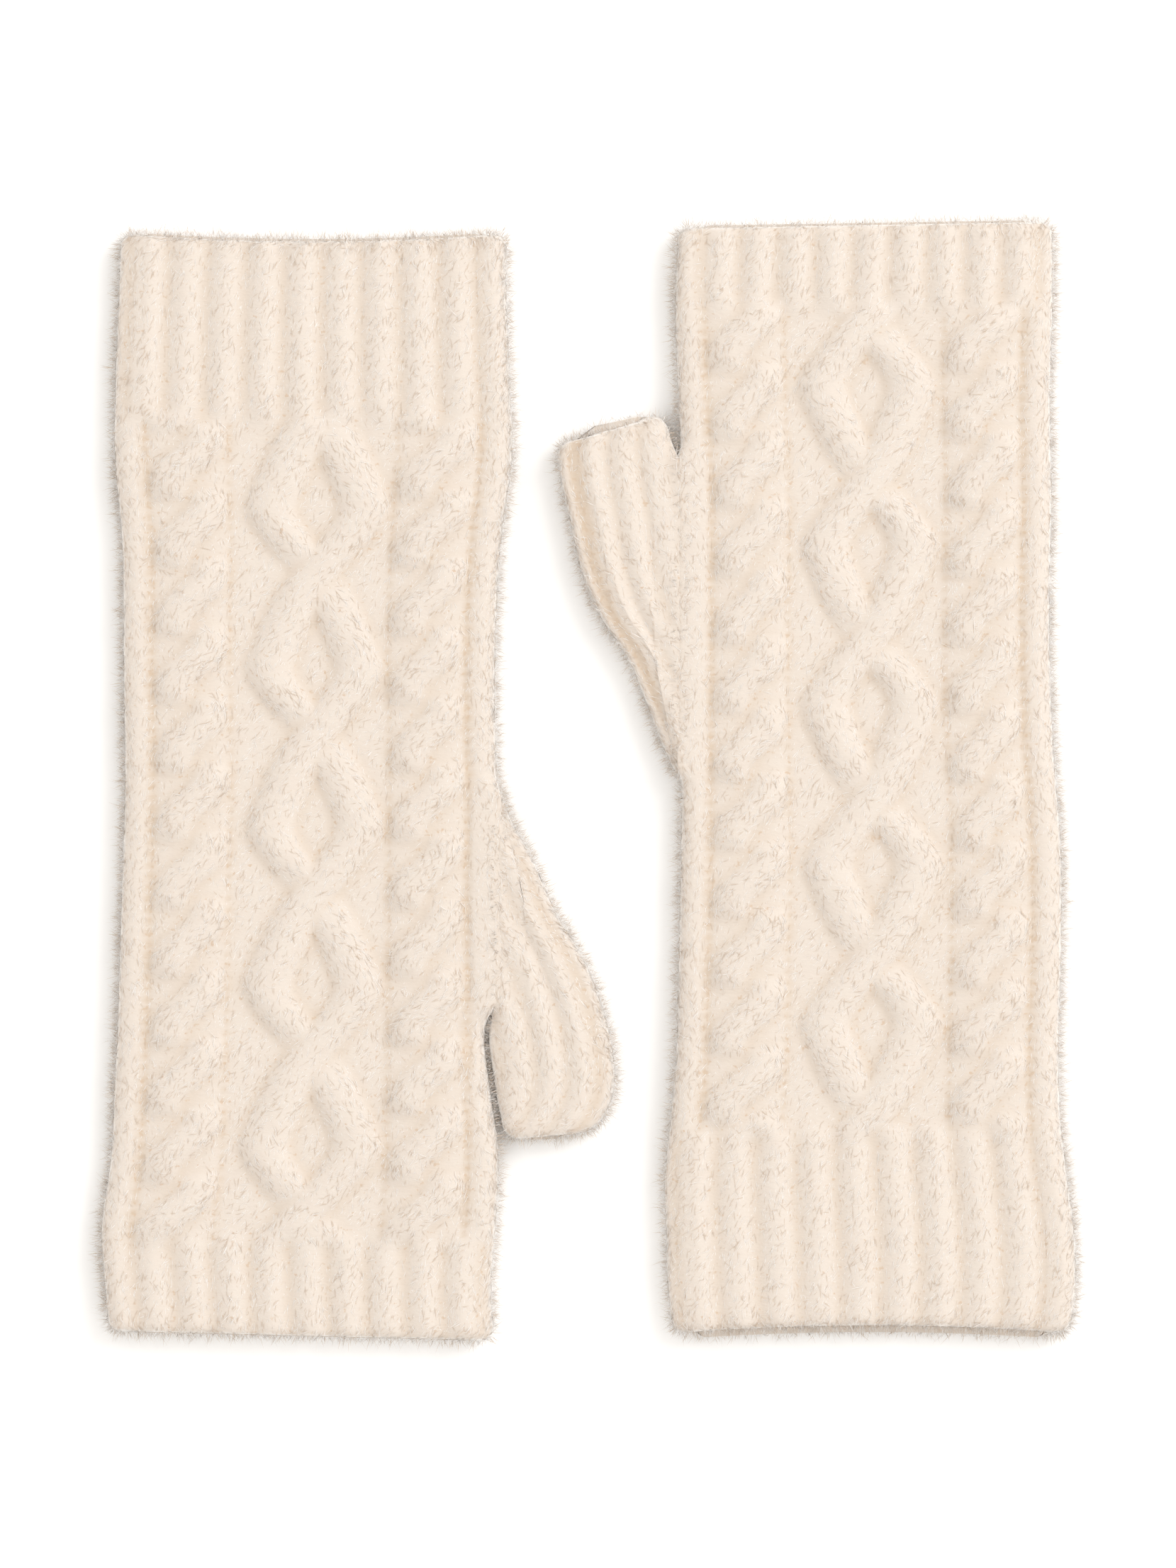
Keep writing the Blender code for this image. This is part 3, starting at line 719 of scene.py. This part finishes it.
def add_mesh(name, points, faces, material):
    """A smooth-shaded object from points in millimetres and faces."""
    data = bpy.data.meshes.new(name)
    data.from_pydata((points * MM).tolist(), [], faces)
    data.shade_smooth()
    data.materials.append(material)
    made = bpy.data.objects.new(name, data)
    bpy.context.scene.collection.objects.link(made)
    return made


def lift_normals(normal):
    """Shading normals of a fuzzy surface, which light also reaches from above where it is steep: the
    height z of the normal grows by 1.2 (1 - z), less on the way down to the underside."""
    growth = 1.2
    height = normal[:, 2]
    lifted = normal.copy()
    lifted[:, 2] += growth * (1 - height) * ease(height, -0.4, 0.1)
    return unit(lifted)


def add_tube(name, tube, closed_base, material):
    """A tube as one closed shell: outer face, inner face, and a rim at each open end.
    A closed base has a cap on the outer face and one on the inner face instead of a rim. Crease tells
    the material where to paint shade: in the creases, and a little over the inner face. The second
    attribute tells it where to paint a highlight on the steep folds."""
    # Painted shade over the whole inner face, inside the tube
    inner_crease = 0.15
    rows, columns = tube.outer.shape[:2]
    inner_rows = tube.inner.shape[0]
    inner_first = rows * columns
    points = np.concatenate([tube.outer.reshape(-1, 3), tube.inner.reshape(-1, 3)])
    last_inner = inner_first + (inner_rows - 1) * columns
    faces = [grid_faces(rows, columns, 0, True), grid_faces(inner_rows, columns, inner_first, False),
             ring_faces((rows - 1) * columns, last_inner, columns, False)]
    caps = []
    if closed_base:
        caps = [list(range(columns))[::-1], list(range(inner_first, inner_first + columns))]
    else:
        faces.append(ring_faces(0, inner_first, columns, True))
    made = add_mesh(name, points, np.concatenate(faces).tolist() + caps, material)
    # Painted highlight: the steeper a fold, the lighter its colour
    folded = ease(1 - np.abs(tube.normal[..., 2]), 0.3, 0.75)
    for key, outer, inner in (("Crease", tube.crease, inner_crease), ("FoldHighlight", folded, 0.0)):
        values = np.full(len(points), inner, dtype=np.float32)
        values[:inner_first] = outer.ravel()
        made.data.attributes.new(key, "FLOAT", "POINT").data.foreach_set("value", values)
    lifted = np.zeros((len(points), 3))
    lifted[:inner_first] = lift_normals(tube.normal.reshape(-1, 3))
    made.data.normals_split_custom_set_from_vertices(lifted.tolist())
    return made


def scattered(tubes, many, rng, nap):
    """Random places on the tubes, thinner on the underside and denser at the folds: the cell is drawn by
    its area, times 1 + 2 halo steep^1.5 where steep is 1 - the size of the normal's height. The place in
    the cell is a mean of its four corners. Gives root, normal, lie, and whether it is under a border."""
    corners = [(slice(None, -1), 0), (slice(None, -1), 1), (slice(1, None), 0), (slice(1, None), 1)]
    full_share = 0.995

    def cells(values, corner_at):
        row, shift = corner_at
        return np.roll(values, -shift, 1)[row].reshape(-1, *values.shape[2:])

    fields = {}
    for key in ("outer", "normal", "lie", "layer", "share"):
        fields[key] = [np.concatenate([cells(getattr(t, key), at) for t in tubes]) for at in corners]
    near_left, near_right, far_left, far_right = fields["outer"]
    area = np.linalg.norm(np.cross(far_right - near_left, far_left - near_right), axis=1)
    steep = 1 - np.abs(fields["normal"][0][:, 2])
    on_back = fields["layer"][0] == BACK
    weight = area * np.where(on_back, nap.back_density, 1.0) * (1 + 2 * nap.halo * steep ** 1.5)
    cell = rng.choice(len(weight), size=many, p=weight / weight.sum())
    u, v = rng.random((2, many, 1))
    shares = [(1 - u) * (1 - v), u * (1 - v), (1 - u) * v, u * v]

    def mean(key):
        return sum(share * corner_values[cell] for share, corner_values in zip(shares, fields[key]))

    under_border = on_back & (fields["share"][0] < full_share)
    return mean("outer"), unit(mean("normal")), unit(mean("lie")), under_border[cell]


def fibre_points(tubes, many, nap, rng):
    """Four points for each fibre: root, the two sides of its middle, and tip.
    Tip: root + length (cos rise along + sin rise normal), where along is the lie turned by a stray angle.
    Middle: a little before halfway, raised by a bow and moved sideways by a curl.
    On a steep fold nearly every fibre stands, and is up to twice as long. Under a border it is short.
    Shading normal: the cloth's, with a little of a random one, turned up and lifted at a fold."""
    standing_at_fold, standing_stray, standing_rise = 0.9, 1.2, (0.5, 1.3)
    short, variety, bow_share, middle_share, curl_share = 0.3, 0.35, 0.015, 0.45, 0.3
    buried, lowest, facing_down, lift = 0.03, 0.02, -0.85, 2.5
    root, normal, lie, under_border = scattered(tubes, many, rng, nap)
    side = unit(np.cross(normal, lie))
    steep = 1 - np.abs(normal[:, 2])
    standing = rng.random(many) < standing_at_fold * steep
    stray = rng.normal(size=many) * np.where(standing, standing_stray, nap.spread)
    turned = lie * np.cos(stray)[:, None] + side * np.sin(stray)[:, None]
    turned = turned * rng.choice([-1.0, 1.0], many)[:, None]
    rise = np.where(standing, rng.uniform(*standing_rise, many), nap.rise * rng.uniform(0.2, 1.8, many))
    usual = np.where(standing, nap.standing_length * (1 + steep), nap.fibre_length)
    usual = usual * np.where(under_border & (normal[:, 2] < -0.8), short, 1)
    reach = usual * np.exp(variety * np.clip(rng.normal(size=many), -2, 1.6))
    way = turned * np.cos(rise)[:, None] + normal * np.sin(rise)[:, None]
    sideways = unit(np.cross(way, normal))
    curl = curl_share * nap.fibre_width * rng.normal(size=many)
    start = root - buried * normal
    middle = start + way * (middle_share * reach)[:, None]
    middle = middle + normal * (bow_share * reach)[:, None] + sideways * curl[:, None]
    width = np.where(standing, nap.standing_width, nap.fibre_width) * rng.uniform(0.7, 1.3, many)
    half = sideways * (width / 2)[:, None]
    tip = start + way * reach[:, None]
    points = np.stack([start, middle - half, middle + half, tip], 1)
    points[..., 2] = np.maximum(points[..., 2], lowest)
    shading = unit(nap.softness * normal + (1 - nap.softness) * unit(rng.normal(size=(many, 3))))
    above = shading[:, 2] > facing_down
    shading[above, 2] = np.abs(shading[above, 2])
    shading[above, 2] += lift * (1 - shading[above, 2])
    return points, unit(shading)


def fibre_faces(points, shading):
    """The four triangles of each fibre, turned to face outwards by the sign of its volume, and the
    normals of their corners: the shading normal, turned over on the triangles that face the cloth."""
    a, b, c = (points[:, k] - points[:, 0] for k in (1, 2, 3))
    inside_out = np.einsum("ij,ij->i", np.cross(a, b), c) < 0
    out = np.array([[0, 2, 1], [0, 1, 3], [1, 2, 3], [0, 3, 2]])
    faces = np.where(inside_out[:, None, None], out[:, ::-1][None], out[None])
    first, second, third = (points[np.arange(len(points))[:, None], faces[..., k]] for k in (0, 1, 2))
    facing = np.einsum("ijk,ik->ij", np.cross(second - first, third - first), shading)
    normals = np.where(facing < 0, -1.0, 1.0)[..., None, None] * shading[:, None, None, :]
    normals = np.broadcast_to(normals, (*faces.shape, 3))
    return (faces + 4 * np.arange(len(points))[:, None, None]).reshape(-1, 3), normals.reshape(-1, 3)


# Colour sockets of a Mix node: the first and second input, and the output
MIX_FIRST, MIX_SECOND, MIXED = 6, 7, 2


def add_node(tree, kind, settings, inputs):
    """Adds a node to a tree. Settings are its own values; inputs are values or other nodes' sockets."""
    made = tree.nodes.new(kind)
    for name, value in settings.items():
        setattr(made, name, value)
    for name, value in inputs.items():
        if isinstance(value, bpy.types.NodeSocket):
            tree.links.new(value, made.inputs[name])
        else:
            made.inputs[name].default_value = value
    return made


def new_material(name):
    """A material with only its output node."""
    material = bpy.data.materials.new(name)
    material.use_nodes = True
    tree = material.node_tree
    tree.nodes.remove(tree.nodes["Principled BSDF"])
    return material, tree, tree.nodes["Material Output"]


def opaque(three):
    """A colour with its alpha."""
    return (*three, 1.0)


def wool(finish):
    """What wool does to light in bulk and in single fibres: a weak gloss and the sheen of fine tips."""
    return {"IOR": 1.54, "Specular IOR Level": 0.2, "Sheen Weight": finish.sheen, "Sheen Roughness": 0.6}


def brushed_knit(finish):
    """Lambswool knitted thick and then brushed. Brushing draws fibres out into a felt, so the eye meets
    a soft, matt, broken surface with hardly any shine. Its colour holds painted shade, darker and warmer
    in the creases, and a painted highlight on the steep folds."""
    material, tree, output = new_material("brushed_lambswool_knit")
    place = add_node(tree, "ShaderNodeTexCoord", {}, {}).outputs["Object"]
    # Painted shade in the creases and a painted highlight on the folds, read from two attributes
    crease = add_node(tree, "ShaderNodeAttribute", {"attribute_name": "Crease"}, {}).outputs["Fac"]
    fold_highlight = add_node(tree, "ShaderNodeAttribute", {"attribute_name": "FoldHighlight"}, {}).outputs["Fac"]
    # Clumps of 2.5 mm, the width of one stitch
    clump = add_node(tree, "ShaderNodeTexNoise", {}, {"Vector": place, "Scale": 1 / 0.0025, "Detail": 3.0})
    # Flecks of warmer yarn 0.6 mm wide, made more often in the creases by their painted shade
    fleck = add_node(tree, "ShaderNodeTexNoise", {}, {"Vector": place, "Scale": 1 / 0.0012, "Detail": 2.0})
    shade_and_flecks = add_node(tree, "ShaderNodeMath", {"operation": "MULTIPLY_ADD"},
                    {0: crease, 1: 0.16, 2: fleck.outputs["Fac"]})
    shown = add_node(tree, "ShaderNodeMapRange", {"interpolation_type": "SMOOTHSTEP"},
                     {"Value": shade_and_flecks.outputs[0], "From Min": 0.66, "From Max": 0.78})
    # Painted shade: up to three quarters of the crease colour where the crease is deepest
    deep = add_node(tree, "ShaderNodeMapRange", {}, {"Value": crease, "To Max": 0.75})
    # One colour over the other: random lighter patches, flecks, painted shade in the creases, and a
    # painted highlight on the steep folds
    shades = ((clump.outputs["Fac"], finish.milk), (shown.outputs[0], finish.fleck),
              (deep.outputs[0], finish.crease), (fold_highlight, finish.fold_highlight))
    base = opaque(finish.cream)
    for share, shade in shades:
        mixed = add_node(tree, "ShaderNodeMix", {"data_type": "RGBA"},
                         {"Factor": share, MIX_FIRST: base, MIX_SECOND: opaque(shade)})
        base = mixed.outputs[MIXED]
    # Matted fibres 0.35 mm thick, drawn 2.5 times longer across than along
    drawn_out = add_node(tree, "ShaderNodeMapping", {}, {"Vector": place, "Scale": (0.4, 1.0, 1.0)})
    matted = add_node(tree, "ShaderNodeTexNoise", {},
                      {"Vector": drawn_out.outputs[0], "Scale": 1 / 0.0007, "Detail": 4.0})
    raised = add_node(tree, "ShaderNodeBump", {}, {"Height": matted.outputs["Fac"], "Strength": 0.4,
                                                   "Distance": 0.0004})
    uneven = 0.06
    matt = add_node(tree, "ShaderNodeMapRange", {},
                    {"Value": matted.outputs["Fac"], "To Min": finish.roughness - uneven,
                     "To Max": finish.roughness + uneven})
    shader = add_node(tree, "ShaderNodeBsdfPrincipled", {},
                      {"Base Color": base, "Roughness": matt.outputs[0],
                       "Normal": raised.outputs[0], **wool(finish)})
    tree.links.new(shader.outputs[0], output.inputs["Surface"])
    return material


def matt_material(name, base, grain, roughness, further):
    """A matt material of one colour whose roughness varies in grains of a size in metres, with further
    values of its shader."""
    material, tree, output = new_material(name)
    place = add_node(tree, "ShaderNodeTexCoord", {}, {}).outputs["Object"]
    grains = add_node(tree, "ShaderNodeTexNoise", {}, {"Vector": place, "Scale": 1 / grain})
    matt = add_node(tree, "ShaderNodeMapRange", {}, {"Value": grains.outputs["Fac"],
                                                     "To Min": roughness[0], "To Max": roughness[1]})
    shader = add_node(tree, "ShaderNodeBsdfPrincipled", {},
                      {"Base Color": opaque(base), "Roughness": matt.outputs[0], **further})
    tree.links.new(shader.outputs[0], output.inputs["Surface"])
    return material


def drawn_fibre(name, base, finish):
    """Single fibres drawn out of the yarn by the brush. The scales of wool make them matt, and they are
    fine enough to catch the light from all sides. Their roughness varies in grains of 1 mm."""
    return matt_material(name, base, 0.001, (0.8, 1.0), wool(finish))


def matt_board(base):
    """Matt coated board under the pair: an even, nearly white, rough surface with a grain of 4 mm."""
    return matt_material("matt_coated_board", base, 0.004, (0.85, 0.95), {})


class WARMERS_OT_knit(bpy.types.Operator):
    """Knit the tube of each hand and then the tube of each thumb"""
    bl_idname = "warmers.knit"
    bl_label = "Knit the Tubes"

    def execute(self, context):
        knit = plain(context.scene.warmer_knit)
        material = brushed_knit(context.scene.warmer_finish)
        kinds = (("hand", hand_tube, False, ("arm_rib", "hand", "finger_rib")),
                 ("thumb", thumb_tube, True, ("thumb",)))
        for kind, tube, closed_base, layers in kinds:
            for warmer in WARMERS:
                made = add_tube(f"{warmer.name}_{kind}_knit", tube(warmer, knit), closed_base, material)
                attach(made, BODY)
                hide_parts(*(f"{warmer.name}_{layer}_{side}" for layer in layers
                                    for side in ("front", "back")))
        return {"FINISHED"}


class WARMERS_OT_nap(bpy.types.Operator):
    """Draw the nap of brushed fibres out of the knitted tubes, in two shades"""
    bl_idname = "warmers.nap"
    bl_label = "Brush Up the Nap"

    def execute(self, context):
        knit = plain(context.scene.warmer_knit)
        nap = plain(context.scene.warmer_nap)
        finish = context.scene.warmer_finish
        shades = (("light", nap.light_fibres, finish.fibre_light),
                  ("warm", nap.warm_fibres, finish.fibre_warm))
        for shade, many, base in shades:
            material = drawn_fibre(f"brushed_lambswool_fibre_{shade}", base, finish)
            for warmer in WARMERS:
                rng = np.random.default_rng(warmer.seed + len(shade))
                tubes = (hand_tube(warmer, knit), thumb_tube(warmer, knit))
                points, shading = fibre_points(tubes, many, nap, rng)
                faces, normals = fibre_faces(points, shading)
                made = add_mesh(f"{warmer.name}_nap_{shade}", points.reshape(-1, 3), faces.tolist(),
                                material)
                made.data.normals_split_custom_set(normals.tolist())
                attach(made, BODY)
        return {"FINISHED"}


class WARMERS_OT_cut(bpy.types.Operator):
    """A step that does nothing: it states no cut of the tubes"""
    bl_idname = "warmers.cut"
    bl_label = "State the Cut"

    def execute(self, context):
        return {"FINISHED"}


class WARMERS_OT_stage(bpy.types.Operator):
    """Set the floor, the soft light and the camera that looks straight down"""
    bl_idname = "warmers.stage"
    bl_label = "Set the Stage"

    def execute(self, context):
        scene = context.scene
        stage = scene.warmer_stage
        half = 2000.0
        corners = half * np.array([(-1, -1, 0), (1, -1, 0), (1, 1, 0), (-1, 1, 0)])
        floor = add_mesh("floor", corners, [(0, 1, 2, 3)], matt_board(stage.floor_colour))
        key = bpy.data.lights.new("key", "AREA")
        key.size = KEY_SIZE
        key.energy = stage.key_power
        light = bpy.data.objects.new("key", key)
        light.location = KEY_PLACE
        light.rotation_euler = (-light.location).to_track_quat("-Z", "Y").to_euler()
        scene.collection.objects.link(light)
        scene.world = bpy.data.worlds.new("white_surround")
        scene.world.use_nodes = True
        surround = scene.world.node_tree.nodes["Background"].inputs
        surround["Color"].default_value = opaque(stage.sky_colour)
        surround["Strength"].default_value = stage.sky
        scene.view_settings.view_transform = "Standard"
        lens = bpy.data.cameras.new("camera")
        lens.lens = stage.focal_length
        camera = bpy.data.objects.new("camera", lens)
        distance = stage.framed_height * stage.focal_length / lens.sensor_width
        camera.location = (0.0, stage.centre_along, distance)
        scene.collection.objects.link(camera)
        scene.camera = camera
        return {"FINISHED"}


class WARMERS_PT_panel(bpy.types.Panel):
    """The steps and sizes of the pair, in the sidebar"""
    bl_idname = "WARMERS_PT_panel"
    bl_label = "Wrist Warmers"
    bl_space_type = "VIEW_3D"
    bl_region_type = "UI"
    bl_category = "Wrist Warmers"

    def draw(self, context):
        for step in STEPS:
            self.layout.operator(step.bl_idname)
        for name in GROUPS:
            box = self.layout.box()
            group = getattr(context.scene, name)
            for prop in group.bl_rna.properties:
                if prop.identifier not in ("rna_type", "name"):
                    box.prop(group, prop.identifier)


STEPS = (WARMERS_OT_knit, WARMERS_OT_nap, WARMERS_OT_cut, WARMERS_OT_stage)
GROUPS = {"warmer_knit": WarmerKnit, "warmer_nap": WarmerNap, "warmer_finish": WarmerFinish,
          "warmer_stage": WarmerStage}


def register():
    for group in GROUPS.values():
        bpy.utils.register_class(group)
    for name, group in GROUPS.items():
        setattr(bpy.types.Scene, name, bpy.props.PointerProperty(type=group))
    for step in STEPS:
        bpy.utils.register_class(step)
    bpy.utils.register_class(WARMERS_PT_panel)


def unregister():
    bpy.utils.unregister_class(WARMERS_PT_panel)
    for step in STEPS[::-1]:
        bpy.utils.unregister_class(step)
    for name in GROUPS:
        delattr(bpy.types.Scene, name)
    for group in GROUPS.values():
        bpy.utils.unregister_class(group)


def main():
    register()
    bpy.ops.warmers.knit()
    bpy.ops.warmers.nap()
    bpy.ops.warmers.cut()
    bpy.ops.warmers.stage()


if __name__ == "__main__":
    main()
